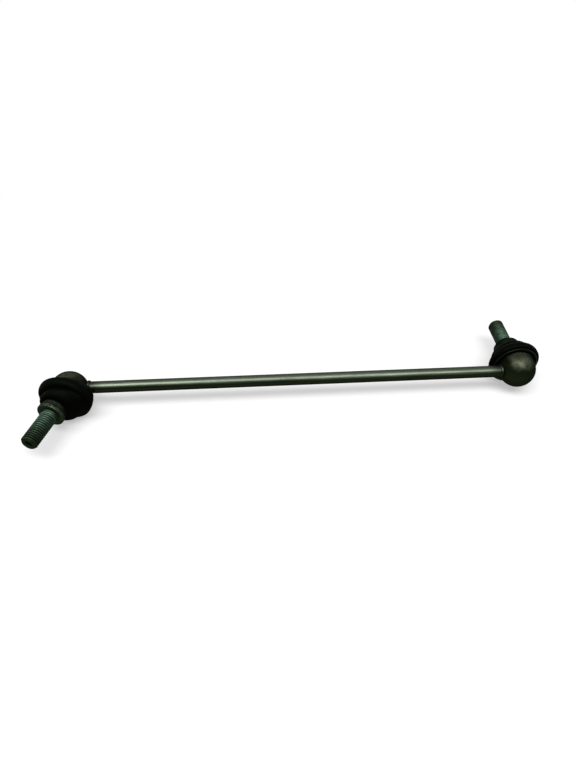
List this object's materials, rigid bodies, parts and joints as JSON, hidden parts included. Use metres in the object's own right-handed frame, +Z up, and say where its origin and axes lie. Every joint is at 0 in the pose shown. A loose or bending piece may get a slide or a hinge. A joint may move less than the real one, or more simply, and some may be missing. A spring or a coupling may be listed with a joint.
{
  "type": "stabilizer link",
  "caption": "Slim steel rod with a sealed ball joint on each end, whose threaded studs point opposite ways, for tying an anti-roll bar to a suspension strut.",
  "frame": {"origin": "halfway between the two ball centres, on the rod's axis, which is the part's centre of volume", "axes": "+X along the rod to the right joint, +Z up as the link lies, +Y along the right stud"},
  "size_m": [0.3836, 0.1093, 0.0388],
  "materials": {
    "plated_steel": "olive grey zinc plating, satin",
    "zinc_stud": "bluish green zinc plating, satin",
    "boot_rubber": "matt black rubber with a soft sheen",
    "spring_steel": "bright rolled steel",
    "bearing_plastic": "natural off-white, smooth",
    "closing_steel": "bare pressed steel"
  },
  "bodies": {
    "link": {"rod": "plated_steel", "left_housing": "plated_steel", "left_bearing_cup": "bearing_plastic", "left_bearing_ring": "bearing_plastic", "left_closing_ring": "closing_steel", "left_boot_clamp": "spring_steel", "right_housing": "plated_steel", "right_bearing_cup": "bearing_plastic", "right_bearing_ring": "bearing_plastic", "right_closing_ring": "closing_steel", "right_boot_clamp": "spring_steel"},
    "left_boot": {"left_boot": "boot_rubber"},
    "left_neck": {"left_boot_neck_ring": "spring_steel"},
    "left_stud": {"left_ball_stud": "zinc_stud"},
    "right_boot": {"right_boot": "boot_rubber"},
    "right_neck": {"right_boot_neck_ring": "spring_steel"},
    "right_stud": {"right_ball_stud": "zinc_stud"}
  },
  "joints": [
    {"name": "left_up_swing", "type": "hinge", "parent": "link", "child": "left_boot", "pos_m": [-0.17, 0, 0], "axis": [1, 0, 0], "range_deg": [-20, 20], "deforming": ["left_boot"]},
    {"name": "left_side_swing", "type": "hinge", "parent": "left_boot", "child": "left_neck", "pos_m": [-0.17, 0, 0], "axis": [0, 0, 1], "range_deg": [0, 40], "deforming": ["left_boot"]},
    {"name": "left_spin", "type": "hinge", "parent": "left_neck", "child": "left_stud", "pos_m": [-0.17, 0, 0], "axis": [-0.342, -0.9397, 0], "continuous": true},
    {"name": "right_up_swing", "type": "hinge", "parent": "link", "child": "right_boot", "pos_m": [0.17, 0, 0], "axis": [1, 0, 0], "range_deg": [-20, 20], "deforming": ["right_boot"]},
    {"name": "right_side_swing", "type": "hinge", "parent": "right_boot", "child": "right_neck", "pos_m": [0.17, 0, 0], "axis": [0, 0, 1], "range_deg": [-20, 20], "deforming": ["right_boot"]},
    {"name": "right_spin", "type": "hinge", "parent": "right_neck", "child": "right_stud", "pos_m": [0.17, 0, 0], "axis": [0, 1, 0], "continuous": true}
  ]
}
